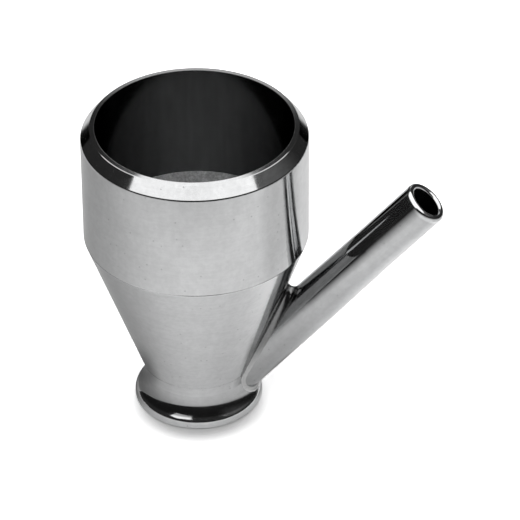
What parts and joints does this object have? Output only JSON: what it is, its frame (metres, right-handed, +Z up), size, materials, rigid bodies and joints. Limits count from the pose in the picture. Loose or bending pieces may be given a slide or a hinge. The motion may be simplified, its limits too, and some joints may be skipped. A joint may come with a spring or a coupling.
{
  "type": "airbrush colour cup",
  "caption": "Side-feed metal colour cup for an airbrush: a bevelled cylinder on a cone and flared foot, with a slanted feed stem.",
  "frame": {"origin": "centre of the foot's flat underside", "axes": "+Z up along the cup's axis; +X towards the feed stem, which leans up and out in the XZ plane"},
  "size_m": [0.0405, 0.0254, 0.0371],
  "materials": {
    "cup_plating": "polished outside, satin inside, with fine polishing scratches",
    "stem_plating": "polished, with fine lengthwise scratches",
    "solder_plating": "slightly rippled solder under the plating"
  },
  "bodies": {
    "root": {"cup_barrel": "cup_plating", "barrel_seam_solder": "solder_plating", "cup_funnel": "cup_plating", "flared_foot": "cup_plating", "foot_seam_solder": "solder_plating", "feed_stem": "stem_plating", "stem_solder_fillet": "solder_plating"}
  },
  "joints": []
}
